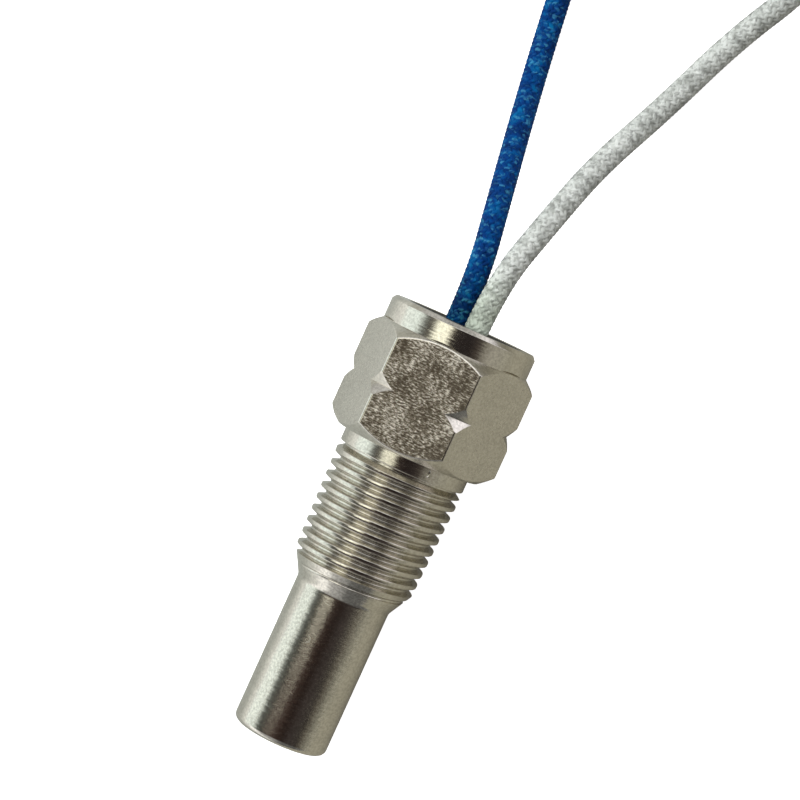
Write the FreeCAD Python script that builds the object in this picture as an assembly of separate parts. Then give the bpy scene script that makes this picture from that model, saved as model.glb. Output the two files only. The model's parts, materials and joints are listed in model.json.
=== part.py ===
import FreeCAD, Part
import math
import os

# Temperature sender that screws into a tapered port: a turned and plated hexagon body with a blind bore,
# a sensing disc in the probe's end, and two braided leads out of the potted mouth.
# The sender lies on a bench: +Z is up, the bench is Z = 0, and the wire end points along +Y.
# Lengths are millimetres and angles are degrees.

# Turned body, from the probe's tip to the wire end
probe_diameter = 12.0
probe_length = 19.2
tip_round = 0.8
shoulder_length = 3.1
shoulder_blend = 1.2
thread_small_diameter = 15.4
thread_length = 13.9
thread_taper = 1 / 16
thread_pitch = 1.5
thread_depth = 0.95
thread_angle = 56.0
thread_lead_in = 2.505
thread_overcut = 0.08
relief_width = 0.9
relief_floor = 0.3
relief_depth = 0.85
neck_diameter = 16.1
neck_length = 1.8
hex_across_flats = 19.0
hex_length = 13.8
hex_corner_round = 0.35
hex_foot_diameter = 18.4
hex_chamfer_angle = 46.6
groove_depth = 0.9
groove_flank_angle = 65.0
groove_below_collar = 7.2
collar_diameter = 18.8
collar_length = 3.0
collar_break_width = 0.4
collar_break_height = 0.5

# Blind bore, drilled from the wire end
element_bore_diameter = 7.0
splice_bore_diameter = 9.6
mouth_bore_diameter = 14.6
tip_wall = 1.8
element_bore_length = 20.0
mouth_bore_depth = 10.0
mouth_chamfer = 0.3
drill_point_angle = 118.0

# Sensing element and what joins it to the leads
disc_diameter = 5.2
disc_thickness = 2.6
disc_above_drill_point = 3.2
compound_above_disc = 1.4
leg_diameter = 0.5
leg_sleeve_wall = 0.3
splice_diameter = 2.2
splice_length = 8.0
splice_grip = 3.4
splice_above_step = 2.4
splice_edge = 0.25
splice_sleeve_wall = 0.35
splice_sleeve_overlap = 1.2
bare_core = 4.0

# Leads and resin
lead_diameter = 3.1
lead_gap = 0.15
core_diameter = 1.2
pair_angle = 32.0
potting_recess = 0.4
tinned_length = 6.0

# Coil of the leads' unseen length, wound in two lanes, one lead on the other
coil_radius = 17.8
coil_lane_gap = 0.1
coil_from_mouth = (5.7, 81.0)
coil_stub_clearance = 0.8
blue_entry_angle = 188.6
white_entry_angle = -14.0
lane_open_angle = 42.0
tie_thickness = 0.4
tie_width = 2.6
tie_angle = 75.0
tie_head_length = 3.6
tie_head_height = 2.4

# Free stretches: points from the mouth's centre over the bench, with the height of the lead's underside.
# The first run leaves the mouth along the sender's axis, and the last run is in line with the coil.
straight_out = 6.5
approach = 9.0
bend_share = 0.45
blue_points = [
    (-2.6, 15.4, 7.7),
    (-5.5, 26.6, 2.0),
    (-7.1, 36.8, 0.0),
    (-8.4, 46.6, 0.0),
]
white_points = [
    (3.3, 14.4, 9.6),
    (6.0, 25.2, 4.4),
    (9.7, 35.6, 0.6),
    (13.9, 45.8, 0.0),
]

# Heights along the body's own axis, from the tip
shoulder_foot = probe_length
thread_foot = shoulder_foot + shoulder_length
thread_top = thread_foot + thread_length
hex_foot = thread_top + neck_length
hex_top = hex_foot + hex_length
body_top = hex_top + collar_length
mouth_floor = body_top - mouth_bore_depth
potting_top = body_top - potting_recess

probe_radius = probe_diameter / 2
thread_small_radius = thread_small_diameter / 2
thread_large_radius = thread_small_radius + thread_length * thread_taper / 2
hex_corner_radius = hex_across_flats / math.sqrt(3)
hex_foot_radius = hex_foot_diameter / 2
collar_radius = collar_diameter / 2
chamfer_ball = hex_corner_radius / math.sin(math.radians(hex_chamfer_angle))
groove_ball = hex_corner_radius / math.sin(math.radians(groove_flank_angle))

drill_slope = 1 / math.tan(math.radians(drill_point_angle / 2))
element_bore_radius = element_bore_diameter / 2
splice_bore_radius = splice_bore_diameter / 2
mouth_bore_radius = mouth_bore_diameter / 2
element_bore_foot = tip_wall + element_bore_radius * drill_slope
element_bore_top = element_bore_foot + element_bore_length
splice_bore_foot = element_bore_top + (splice_bore_radius - element_bore_radius) * drill_slope

disc_height = tip_wall + disc_above_drill_point + disc_diameter / 2
compound_top = disc_height + disc_diameter / 2 + compound_above_disc
splice_foot = element_bore_top + splice_above_step
splice_top = splice_foot + splice_length
root_foot = splice_top + bare_core

lead_radius = lead_diameter / 2
core_radius = core_diameter / 2
leg_radius = leg_diameter / 2
lead_offset = (lead_diameter + lead_gap) / 2

# The coil's lanes, and the stub that carries a lead straight out past the ring
lane_pitch = lead_diameter + coil_lane_gap
lane_half = lane_pitch / 2
outer_lane = coil_radius + lane_half
inner_lane = coil_radius - lane_half
coil_stub = math.sqrt((outer_lane + lane_half + lead_radius) ** 2 - outer_lane**2) + coil_stub_clearance

AXIS = FreeCAD.Vector(0, 0, 1)
ORIGIN = FreeCAD.Vector(0, 0, 0)


def turned(start, *steps, sweep=360):
    # A solid of revolution about the Z axis. Each step is an end point (radius, height),
    # or a pair of points for an arc through the first to the second.
    edges = []
    first = here = FreeCAD.Vector(start[0], 0, start[1])
    for step in steps:
        is_arc = isinstance(step[0], tuple)
        end = step[1] if is_arc else step
        there = FreeCAD.Vector(end[0], 0, end[1])
        if is_arc:
            through = FreeCAD.Vector(step[0][0], 0, step[0][1])
            edges.append(Part.Arc(here, through, there).toShape())
        else:
            edges.append(Part.LineSegment(here, there).toShape())
        here = there
    edges.append(Part.LineSegment(here, first).toShape())
    return Part.Face(Part.Wire(edges)).revolve(ORIGIN, AXIS, sweep)


def rod(radius, low, high, x=0):
    return Part.makeCylinder(radius, high - low, FreeCAD.Vector(x, 0, low), AXIS)


def sleeve(outer_radius, inner_radius, low, high, x):
    return rod(outer_radius, low, high, x).cut(rod(inner_radius, low, high, x))


def thread_groove():
    # One V groove along a tapered right-hand helix, from clear of the shoulder into the run-out groove.
    flank_slope = math.tan(math.radians(thread_angle / 2))
    low = thread_foot - thread_lead_in
    high = thread_top - relief_width
    crest = thread_small_radius - thread_lead_in * thread_taper / 2
    root = crest - thread_depth
    outside = crest + thread_overcut
    lip = (outside - root) * flank_slope
    taper_angle = math.degrees(math.atan(thread_taper / 2))
    helix = Part.makeLongHelix(thread_pitch, high - low, crest, taper_angle)
    helix.translate(AXIS * low)
    corners = [(root, low), (outside, low - lip), (outside, low + lip), (root, low)]
    section = Part.makePolygon([FreeCAD.Vector(radius, 0, height) for radius, height in corners])
    sweep = Part.BRepOffsetAPI.MakePipeShell(Part.Wire(helix))
    sweep.setBiNormalMode(AXIS)
    sweep.add(section, False, False)
    sweep.build()
    sweep.makeSolid()
    return sweep.shape()


def probe_and_thread():
    # Rounded tip, plain probe, shoulder blended into it, tapered thread, run-out groove and neck.
    middle = math.sqrt(0.5)
    tip_inner = probe_radius - tip_round
    rise = thread_small_radius - probe_radius
    cone = math.atan2(rise, shoulder_length)
    tangent = shoulder_blend * math.tan(cone / 2)
    blend_low = (probe_radius, shoulder_foot - tangent)
    blend_mid = (
        probe_radius + shoulder_blend * (1 - math.cos(cone / 2)),
        shoulder_foot - tangent + shoulder_blend * math.sin(cone / 2),
    )
    blend_high = (
        probe_radius + tangent * math.sin(cone),
        shoulder_foot + tangent * math.cos(cone),
    )
    relief_foot = thread_top - relief_width
    relief_edge = thread_large_radius - relief_width * thread_taper / 2
    relief_radius = thread_large_radius - relief_depth
    blank = turned(
        (0, 0),
        (tip_inner, 0),
        ((tip_inner + tip_round * middle, tip_round * (1 - middle)), (probe_radius, tip_round)),
        blend_low,
        (blend_mid, blend_high),
        (thread_small_radius, thread_foot),
        (relief_edge, relief_foot),
        (relief_radius, thread_top - relief_floor),
        (relief_radius, thread_top),
        (neck_diameter / 2, thread_top),
        (neck_diameter / 2, hex_foot),
        (0, hex_foot),
    )
    return blank.cut(thread_groove())


def ball_rise(low_radius, high_radius, ball):
    # How far a ball on the axis falls away between two radii.
    return math.sqrt(ball**2 - low_radius**2) - math.sqrt(ball**2 - high_radius**2)


def domed(start, end_radius, ball):
    # A turned slope that rises along a ball form to another radius, as a step for turned().
    radius, height = start
    middle = (radius + end_radius) / 2
    return (
        (middle, height + abs(ball_rise(radius, middle, ball))),
        (end_radius, height + abs(ball_rise(radius, end_radius, ball))),
    )


def hexagon():
    # Bar-stock hexagon with flats up and down, domed at both ends and grooved round its corners.
    # The given angles of the dome and the groove's flanks are those at the corners.
    corners = [
        FreeCAD.Vector(
            hex_corner_radius * math.cos(math.radians(60 * k)),
            hex_corner_radius * math.sin(math.radians(60 * k)),
            hex_foot,
        )
        for k in range(7)
    ]
    bar = Part.Face(Part.makePolygon(corners)).extrude(AXIS * hex_length)
    upright = [e for e in bar.Edges if abs(e.tangentAt(e.FirstParameter).z) > 0.5]
    bar = bar.makeFillet(hex_corner_round, upright)
    outside = hex_corner_radius + 0.5 * groove_depth
    groove_bottom = hex_corner_radius - groove_depth
    groove_height = hex_top - groove_below_collar
    foot = (hex_foot_radius, hex_foot)
    groove_low = (outside, groove_height - ball_rise(groove_bottom, outside, groove_ball))
    groove = (groove_bottom, groove_height)
    shoulder = (outside, hex_top - ball_rise(collar_radius, outside, chamfer_ball))
    envelope = turned(
        (0, hex_foot),
        foot,
        domed(foot, outside, chamfer_ball),
        groove_low,
        domed(groove_low, groove_bottom, groove_ball),
        domed(groove, outside, groove_ball),
        shoulder,
        domed(shoulder, collar_radius, chamfer_ball),
        (0, hex_top),
    )
    return bar.common(envelope)


def collar():
    return turned(
        (0, hex_top),
        (collar_radius, hex_top),
        (collar_radius, body_top - collar_break_height),
        (collar_radius - collar_break_width, body_top),
        (0, body_top),
    )


def blind_bore():
    # Drilled for the element, opened out for the splices, and counterbored at the mouth for the resin.
    return turned(
        (0, tip_wall),
        (element_bore_radius, element_bore_foot),
        (element_bore_radius, element_bore_top),
        (splice_bore_radius, splice_bore_foot),
        (splice_bore_radius, mouth_floor),
        (mouth_bore_radius, mouth_floor),
        (mouth_bore_radius, body_top - mouth_chamfer),
        (mouth_bore_radius + mouth_chamfer, body_top),
        (0, body_top),
    )


def sender_body():
    solid = probe_and_thread().fuse([hexagon(), collar()])
    return solid.cut(blind_bore()).removeSplitter()


def potting_plug():
    plug = rod(mouth_bore_radius, mouth_floor, potting_top)
    for side in (-1, 1):
        plug = plug.cut(rod(lead_radius, mouth_floor, potting_top, side * lead_offset))
    return plug


def sensing_disc():
    # A disc dipped in coating: flat faces and a fully rounded rim, standing on edge in the bore.
    half = disc_thickness / 2
    rim = disc_diameter / 2 - half
    disc = turned((0, -half), (rim, -half), ((rim + half, 0), (rim, half)), (0, half))
    disc.rotate(ORIGIN, FreeCAD.Vector(1, 0, 0), 90)
    disc.translate(AXIS * disc_height)
    return disc


def element_leg(side):
    return rod(leg_radius, disc_height, splice_foot + splice_grip, side * lead_offset).cut(sensing_disc())


def tip_compound():
    fill = turned(
        (0, tip_wall),
        (element_bore_radius, element_bore_foot),
        (element_bore_radius, compound_top),
        (0, compound_top),
    )
    legs = [element_leg(side) for side in (-1, 1)]
    return fill.cut([sensing_disc(), *legs])


def leg_sleeve(side):
    return sleeve(leg_radius + leg_sleeve_wall, leg_radius, compound_top, splice_foot, side * lead_offset)


def splice(side):
    # Crimp barrel with broken edges: the leg goes in below and the core above.
    radius = splice_diameter / 2
    barrel = turned(
        (0, splice_foot),
        (radius - splice_edge, splice_foot),
        (radius, splice_foot + splice_edge),
        (radius, splice_top - splice_edge),
        (radius - splice_edge, splice_top),
        (0, splice_top),
    )
    barrel = barrel.cut(rod(leg_radius, splice_foot, splice_foot + splice_grip))
    barrel = barrel.cut(rod(core_radius, splice_top - splice_grip, splice_top))
    barrel.translate(FreeCAD.Vector(side * lead_offset, 0, 0))
    return barrel


def splice_sleeve(side):
    inner = splice_diameter / 2
    low = splice_foot - splice_sleeve_overlap
    return sleeve(inner + splice_sleeve_wall, inner, low, root_foot, side * lead_offset)


def lead_core(side):
    return rod(core_radius, splice_top - splice_grip, potting_top, side * lead_offset)


def lead_root(side):
    return sleeve(lead_radius, core_radius, root_foot, potting_top, side * lead_offset)


def lying_tilt():
    # The sender tips forward until the probe's rounded rim and the lower end of a flat both touch the bench.
    flat_foot = hex_foot + ball_rise(hex_foot_radius, hex_across_flats / 2, chamfer_ball)
    run = flat_foot - tip_round
    drop = hex_across_flats / 2 - (probe_radius - tip_round)
    tilt = math.acos(tip_round / math.hypot(run, drop)) - math.atan2(run, drop)
    return math.degrees(tilt)


def lying_place(body):
    # Turns the axis from +Z to +Y, tilts it, and sets the body's box centred over the origin on the bench.
    turn = FreeCAD.Rotation(FreeCAD.Vector(1, 0, 0), lying_tilt() - 90)
    turned_body = body.copy()
    turned_body.Placement = FreeCAD.Placement(ORIGIN, turn)
    box = turned_body.optimalBoundingBox(False)
    move = FreeCAD.Vector(0, -box.Center.y, -box.ZMin)
    return FreeCAD.Placement(move, turn)


def lead_route(exit_point, leave, mouth, points, entry, heading):
    # From the mouth along the axis, over the chosen points, and up to the coil's stub in line with it.
    ground = FreeCAD.Vector(mouth.x, mouth.y, lead_radius)
    chosen = [ground + FreeCAD.Vector(*p) for p in points]
    return [exit_point, exit_point + leave * straight_out, *chosen, entry - heading * approach, entry]


def lead_tube(name, route):
    # Straight runs joined by tangent arcs, each taking the same share of its shorter run.
    edges = []
    radii = []
    here = route[0]
    for before, corner, after in zip(route, route[1:], route[2:]):
        back = (before - corner).normalize()
        ahead = (after - corner).normalize()
        half_turn = (math.pi - back.getAngle(ahead)) / 2
        tangent = bend_share * min(before.distanceToPoint(corner), after.distanceToPoint(corner))
        radius = tangent / math.tan(half_turn)
        bisector = (back + ahead).normalize()
        middle = corner + bisector * (radius / math.cos(half_turn) - radius)
        start = corner + back * tangent
        end = corner + ahead * tangent
        edges.append(Part.LineSegment(here, start).toShape())
        edges.append(Part.Arc(start, middle, end).toShape())
        radii.append(radius)
        here = end
    edges.append(Part.LineSegment(here, route[-1]).toShape())
    path = Part.Wire(edges)
    section = Part.Wire(Part.makeCircle(lead_radius, route[0], route[1] - route[0]))
    tube = path.makePipeShell([section], True, False)
    expected = math.pi * lead_radius**2 * path.Length
    print(name, "radii", [round(r, 1) for r in radii], "length", round(path.Length, 1))
    print(name, "volume", round(tube.Volume, 2), "section times length", round(expected, 2))
    return tube


def lane_height(layer):
    return tie_thickness + lane_half + layer * lane_pitch


def round_coil(angle):
    return FreeCAD.Vector(math.cos(math.radians(angle)), math.sin(math.radians(angle)), 0)


def coil_entry(centre, angle, turning, layer):
    # Where the coil's stub ends, and the way the lead is heading there. turning is +1 against the clock.
    heading = AXIS.cross(round_coil(angle)) * turning
    touch = centre + round_coil(angle) * outer_lane + AXIS * lane_height(layer)
    return touch - heading * coil_stub, heading


def lead_coil(centre, angle, turning, layer):
    # Two lanes side by side as one rounded ring, with a straight stub where the lead comes in.
    # The inner lane stops short of a whole turn, and the tinned end lies in what is left open.
    low = -lane_half
    high = lane_half
    ring = turned(
        (inner_lane, high),
        ((inner_lane - lane_half, 0), (inner_lane, low)),
        (outer_lane, low),
        ((outer_lane + lane_half, 0), (outer_lane, high)),
    )
    past = inner_lane - lead_diameter
    gap = turned(
        (past, -lead_diameter),
        (coil_radius, -lead_diameter),
        (coil_radius, lead_diameter),
        (past, lead_diameter),
        sweep=lane_open_angle,
    )
    gap.rotate(ORIGIN, AXIS, angle if turning < 0 else angle - lane_open_angle)
    ring = ring.cut(gap)
    ring.translate(centre + AXIS * lane_height(layer))
    entry, heading = coil_entry(centre, angle, turning, layer)
    return ring.fuse(Part.makeCylinder(lead_radius, coil_stub, entry, heading)).removeSplitter()


def tinned_end(centre, angle, turning, layer):
    # Bare tinned core that runs on along the inner lane from its end face.
    middle = FreeCAD.Vector(inner_lane, 0, 0)
    section = Part.Face(Part.Wire(Part.makeCircle(core_radius, middle, FreeCAD.Vector(0, 1, 0))))
    core = section.revolve(ORIGIN, AXIS, turning * math.degrees(tinned_length / inner_lane))
    core.rotate(ORIGIN, AXIS, angle - turning * lane_open_angle)
    core.translate(centre + AXIS * lane_height(layer))
    return core


def coil_tie(centre):
    # One moulded tie round both leads' turns, with its locking head on the outside.
    inner_low = tie_thickness
    inner_high = tie_thickness + 2 * lane_pitch
    near = inner_lane - lane_half
    far = outer_lane + lane_half
    sweep = math.degrees(tie_width / coil_radius)
    band = turned(
        (near - tie_thickness, 0),
        (far + tie_thickness, 0),
        (far + tie_thickness, inner_high + tie_thickness),
        (near - tie_thickness, inner_high + tie_thickness),
        sweep=sweep,
    )
    hole = turned((near, inner_low), (far, inner_low), (far, inner_high), (near, inner_high), sweep=sweep)
    head_low = (inner_high - tie_head_length) / 2
    head_high = head_low + tie_head_length
    head_far = far + tie_thickness + tie_head_height
    head = turned((far, head_low), (head_far, head_low), (head_far, head_high), (far, head_high), sweep=sweep)
    tie = band.fuse(head).cut(hole).removeSplitter()
    tie.rotate(ORIGIN, AXIS, tie_angle)
    tie.translate(centre)
    return tie


def build():
    body = sender_body()
    place = lying_place(body)
    inner_place = place * FreeCAD.Placement(ORIGIN, FreeCAD.Rotation(AXIS, -pair_angle))
    leave = place.Rotation.multVec(AXIS)
    mouth = place.multVec(AXIS * potting_top)
    coil_centre = FreeCAD.Vector(mouth.x + coil_from_mouth[0], mouth.y + coil_from_mouth[1], 0)

    body.Placement = place
    nodes = {"sender_body": body}
    inner = {
        "potting_plug": potting_plug(),
        "sensing_disc": sensing_disc(),
        "tip_compound": tip_compound(),
    }
    leads = {
        "blue": (-1, blue_points, blue_entry_angle, -1, 0),
        "white": (1, white_points, white_entry_angle, 1, 1),
    }
    for colour, (side, points, angle, turning, layer) in leads.items():
        inner["element_leg_" + colour] = element_leg(side)
        inner["leg_sleeve_" + colour] = leg_sleeve(side)
        inner["splice_" + colour] = splice(side)
        inner["splice_sleeve_" + colour] = splice_sleeve(side)
        inner["lead_core_" + colour] = lead_core(side)
        inner["lead_root_" + colour] = lead_root(side)
        exit_point = inner_place.multVec(FreeCAD.Vector(side * lead_offset, 0, potting_top))
        entry, heading = coil_entry(coil_centre, angle, turning, layer)
        route = lead_route(exit_point, leave, mouth, points, entry, heading)
        nodes[colour + "_lead"] = lead_tube(colour + "_lead", route)
        nodes[colour + "_coil"] = lead_coil(coil_centre, angle, turning, layer)
        nodes["tinned_end_" + colour] = tinned_end(coil_centre, angle, turning, layer)
    for name, shape in inner.items():
        shape.Placement = inner_place * shape.Placement
        nodes[name] = shape
    nodes["coil_tie"] = coil_tie(coil_centre)
    return nodes


os.makedirs("parts", exist_ok=True)
for node, solid in build().items():
    solid.exportStep("parts/" + node + ".step")
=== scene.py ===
import bmesh
import bpy
import json
from math import acos, atan2, cos, degrees, exp, pi, radians, sin, sqrt, tan
from mathutils import Matrix, Vector


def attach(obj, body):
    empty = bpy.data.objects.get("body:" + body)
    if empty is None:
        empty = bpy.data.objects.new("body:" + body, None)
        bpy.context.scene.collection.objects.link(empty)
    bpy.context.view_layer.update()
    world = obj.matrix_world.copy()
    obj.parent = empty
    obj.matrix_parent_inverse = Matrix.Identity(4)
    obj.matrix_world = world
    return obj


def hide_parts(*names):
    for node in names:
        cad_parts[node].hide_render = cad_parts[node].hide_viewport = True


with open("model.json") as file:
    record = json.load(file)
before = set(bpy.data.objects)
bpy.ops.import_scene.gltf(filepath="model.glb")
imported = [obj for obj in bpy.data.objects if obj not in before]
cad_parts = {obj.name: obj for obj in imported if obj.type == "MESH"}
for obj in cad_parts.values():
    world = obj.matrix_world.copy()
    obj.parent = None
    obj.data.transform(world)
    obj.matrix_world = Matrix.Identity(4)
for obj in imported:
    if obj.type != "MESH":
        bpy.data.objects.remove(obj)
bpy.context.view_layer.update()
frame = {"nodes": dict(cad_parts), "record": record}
mm = 0.001
scene = bpy.context.scene
nodes = frame["nodes"]
mounts = {m["name"]: m for m in frame["record"]["mounts"]}

# the sender's own frame: tip at its origin, axis towards the wires
threadPlace = dict(foot=22.3, length=13.9)  # mm from the tip
along = -Vector(mounts["tapered_thread"]["axis"])
across = Vector((1, 0, 0))
upFlat = Vector(mounts["spanner_flat"]["axis"])
threadMiddle = (threadPlace["foot"] + threadPlace["length"] / 2) * mm
tip = Vector(mounts["tapered_thread"]["pos_m"]) - along * threadMiddle
senderTurn = Matrix((across, -upFlat, along)).transposed()
senderPlace = Matrix.Translation(tip) @ senderTurn.to_4x4()


# small helpers for operators

def startFresh():
    if bpy.context.mode != "OBJECT":
        bpy.ops.object.mode_set(mode="OBJECT")
    bpy.ops.object.select_all(action="DESELECT")


def pick(piece):
    startFresh()
    piece.select_set(True)
    bpy.context.view_layer.objects.active = piece


def editAll(piece):
    pick(piece)
    bpy.ops.object.mode_set(mode="EDIT")
    bpy.ops.mesh.select_mode(type="VERT")
    bpy.ops.mesh.select_all(action="SELECT")


def addObject(name, data):
    made = bpy.data.objects.new(name, data)
    scene.collection.objects.link(made)
    return made


def drawChain(name, points):
    # one vertex, extruded from point to point (radius, height)
    startFresh()
    bpy.ops.mesh.primitive_plane_add(size=1)
    piece = bpy.context.object
    piece.name = name
    piece.data.name = name
    editAll(piece)
    bpy.ops.mesh.merge(type="CENTER")
    bpy.ops.transform.translate(value=(points[0][0], 0, points[0][1]))
    for start, end in zip(points, points[1:]):
        step = (end[0] - start[0], 0, end[1] - start[1])
        bpy.ops.mesh.extrude_region_move(TRANSFORM_OT_translate={"value": step})
    return piece


def roundedChain(corners, steps=4):
    # corners are (radius, height, fillet)
    points = []
    for i, (r, z, fillet) in enumerate(corners):
        here = Vector((r, z))
        if not fillet:
            points.append(here)
            continue
        back = (Vector(corners[i - 1][:2]) - here).normalized()
        ahead = (Vector(corners[i + 1][:2]) - here).normalized()
        half = back.angle(ahead) / 2
        reach = fillet / tan(half)
        centre = here + (back + ahead).normalized() * fillet / sin(half)
        first = here + back * reach - centre
        last = here + ahead * reach - centre
        turn = first.angle_signed(last)
        for k in range(steps + 1):
            points.append(centre + Matrix.Rotation(-turn * k / steps, 2) @ first)
    return points


def spinRound(piece, steps):
    editAll(piece)
    bpy.ops.mesh.spin(steps=steps, angle=2 * pi, center=(0, 0, 0), axis=(0, 0, 1))
    tidyMesh(piece)


def tidyMesh(piece, gap=0.0005):
    editAll(piece)
    bpy.ops.mesh.remove_doubles(threshold=gap)
    bpy.ops.mesh.normals_make_consistent(inside=False)
    bpy.ops.object.mode_set(mode="OBJECT")


def cutWith(piece, cutter):
    pick(piece)
    cut = piece.modifiers.new("cut", "BOOLEAN")
    cut.operation = "DIFFERENCE"
    cut.solver = "EXACT"
    cut.object = cutter
    bpy.ops.object.modifier_apply(modifier=cut.name)
    bpy.data.objects.remove(cutter)


def applyAll(piece):
    pick(piece)
    for modifier in list(piece.modifiers):
        bpy.ops.object.modifier_apply(modifier=modifier.name)


def settle(piece, place):
    # from millimetres in its own frame to metres in the shared one
    pick(piece)
    piece.matrix_world = place @ Matrix.Scale(mm, 4)
    bpy.ops.object.transform_apply()


def shadeTrue(piece, angle):
    # smooth shading led by the broad faces, done while still in millimetres
    pick(piece)
    bpy.ops.object.shade_smooth_by_angle(angle=radians(angle))
    weigh = piece.modifiers.new("weigh", "WEIGHTED_NORMAL")
    weigh.keep_sharp = True
    bpy.ops.object.modifier_apply(modifier=weigh.name)


def standFor(piece, slot, *nodeNames):
    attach(piece, "root")
    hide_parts(*nodeNames)


# camera

cameraView = dict(
    eye=(40.196, 6.762, 307.682),  # mm
    target=(-3.410, 15.665, 10.389),
    lean=24.4,  # degrees that the sender's axis leans to the right in the picture
    focal=2495,  # pixels
    picture=800,  # pixels
    sensor=36,  # mm
    clipStart=0.01,  # metres
)


def makeCamera():
    eye = Vector(cameraView["eye"]) * mm
    look = (Vector(cameraView["target"]) * mm - eye).normalized()
    axisUp = (along - look * along.dot(look)).normalized()
    axisRight = look.cross(axisUp)
    lean = radians(cameraView["lean"])
    up = axisUp * cos(lean) - axisRight * sin(lean)
    right = axisRight * cos(lean) + axisUp * sin(lean)
    data = bpy.data.cameras.new("camera")
    data.sensor_width = cameraView["sensor"]
    data.lens = cameraView["focal"] / cameraView["picture"] * cameraView["sensor"]
    data.clip_start = cameraView["clipStart"]
    camera = addObject("camera", data)
    camera.matrix_world = Matrix.Translation(eye) @ Matrix((right, up, -look)).transposed().to_4x4()
    scene.camera = camera
    print("camera set")


makeCamera()


# leads: braided covers and bare ends on one spline each

lead = dict(  # mm and degrees
    diameter=3.1,
    length=294,  # of the braid
    sunk=0.6,  # below the resin, where the braid starts
    straight=6.5,  # out of the mouth before the first bend
    pairReach=1.625,  # from the middle of the pair to each lead
    pairAngle=32,  # that the pair is turned from level
    pairShift=0.2,
    potTop=54.4,
    approach=(21.3, 12.3, 3.0),  # control points before the coil
    coilPlace=(5.7, 81.0),  # from the mouth
    coilPoints=16,  # control points in each turn
    outerLane=19.4,
    innerLane=16.2,
    laneHeights=(2.0, 5.2),
    coilTurn=678,  # from the touching point to the end of the braid
    laneChange=(285, 75),  # where it starts and how long it takes
    splineOrder=3,
    splineSteps=24,  # points read back for each control point
)
braid = dict(  # mm
    strands=12,  # each way
    lay=14.5,  # for one whole turn of a strand
    width=0.77,
    height=0.22,
    edge=-0.06,  # of a strand, from its middle
    crown=0.5,  # share of the width that is flat on top
    wave=0.055,  # that a strand rises and dips at each crossing
    steps=2,  # from crossing to crossing
    coreRadius=1.16,
    coreSides=8,
    coreStep=1.0,
    tones=12,  # shades that the strands are given in turn
    toneStep=5,
    toneShift=3,
    smooth=55,  # degrees
)
wire = dict(  # mm
    length=6.0,
    hidden=0.5,  # inside the braid
    strands=6,  # round the middle one
    ringRadius=0.4,
    strandRadius=0.21,
    lay=8.0,
    step=0.25,
    sides=8,
    tipShare=0.6,  # of the radius left at the very end
    smooth=50,  # degrees
)
leads = dict(
    blue=dict(side=-1, turning=-1, layer=0, entryAngle=188.6, points=[
        (-2.9, 15.5, 9.25), (-5.5, 26.6, 3.55), (-7.3, 36.7, 1.55), (-8.6, 46.6, 1.55),
    ]),
    white=dict(side=1, turning=1, layer=1, entryAngle=-14.0, points=[
        (3.8, 15.8, 10.6), (5.7, 25.1, 6.0), (9.7, 35.6, 2.15), (14.0, 47.0, 1.55),
    ]),
)
mouth = tip + along * lead["potTop"] * mm
coilCentre = Vector((mouth.x + lead["coilPlace"][0] * mm, mouth.y + lead["coilPlace"][1] * mm, 0))
pairTurn = radians(lead["pairAngle"])
pairAcross = across * cos(pairTurn) + upFlat * sin(pairTurn)


def smoothStep(t):
    t = min(max(t, 0), 1)
    return t * t * (3 - 2 * t)


def leadStart(settings):
    return mouth + (across * lead["pairShift"] + pairAcross * settings["side"] * lead["pairReach"]) * mm


def leadRoute(settings):
    # out of the resin, over the bench and into the coil
    start = leadStart(settings)
    route = [start - along * lead["sunk"] * mm, start + along * lead["straight"] * mm]
    for x, y, z in settings["points"]:
        route.append(Vector((mouth.x + x * mm, mouth.y + y * mm, z * mm)))
    turning = settings["turning"]
    height = lead["laneHeights"][settings["layer"]]
    first = radians(settings["entryAngle"])
    heading = Vector((-sin(first), cos(first), 0)) * turning
    touch = coilCentre + Vector((cos(first), sin(first), 0)) * lead["outerLane"] * mm
    touch.z = height * mm
    route += [touch - heading * reach * mm for reach in lead["approach"]]
    lastTurn = radians(lead["coilTurn"]) + wire["length"] / lead["innerLane"]
    changeFrom, changeLength = [radians(a) for a in lead["laneChange"]]
    count = int(lead["coilPoints"] * lastTurn / (2 * pi))
    for k in range(1, count + 1):
        turned = lastTurn * k / count
        change = smoothStep((turned - changeFrom) / changeLength)
        lane = lead["outerLane"] + (lead["innerLane"] - lead["outerLane"]) * change
        angle = first + turning * turned
        route.append(coilCentre + Vector((cos(angle) * lane, sin(angle) * lane, height)) * mm)
    return route


def splinePoints(name, route):
    # the route as control points of one smooth spline, read back as close points
    data = bpy.data.curves.new(name, "CURVE")
    data.dimensions = "3D"
    data.resolution_u = lead["splineSteps"]
    spline = data.splines.new("NURBS")
    spline.points.add(len(route) - 1)
    for point, place in zip(spline.points, route):
        point.co = (*place, 1)
    spline.order_u = lead["splineOrder"]
    spline.use_endpoint_u = True
    holder = addObject(name, data)
    depsgraph = bpy.context.evaluated_depsgraph_get()
    mesh = bpy.data.meshes.new_from_object(holder.evaluated_get(depsgraph))
    points = [v.co.copy() for v in mesh.vertices]
    bpy.data.objects.remove(holder)
    bpy.data.meshes.remove(mesh)
    return points


def splitLine(points, tail):
    # the line without its last stretch, and that stretch
    left = tail
    i = len(points) - 1
    while (points[i] - points[i - 1]).length < left:
        left -= (points[i] - points[i - 1]).length
        i -= 1
    cut = points[i] + (points[i - 1] - points[i]).normalized() * left
    return points[:i] + [cut], [cut] + points[i:]


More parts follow.
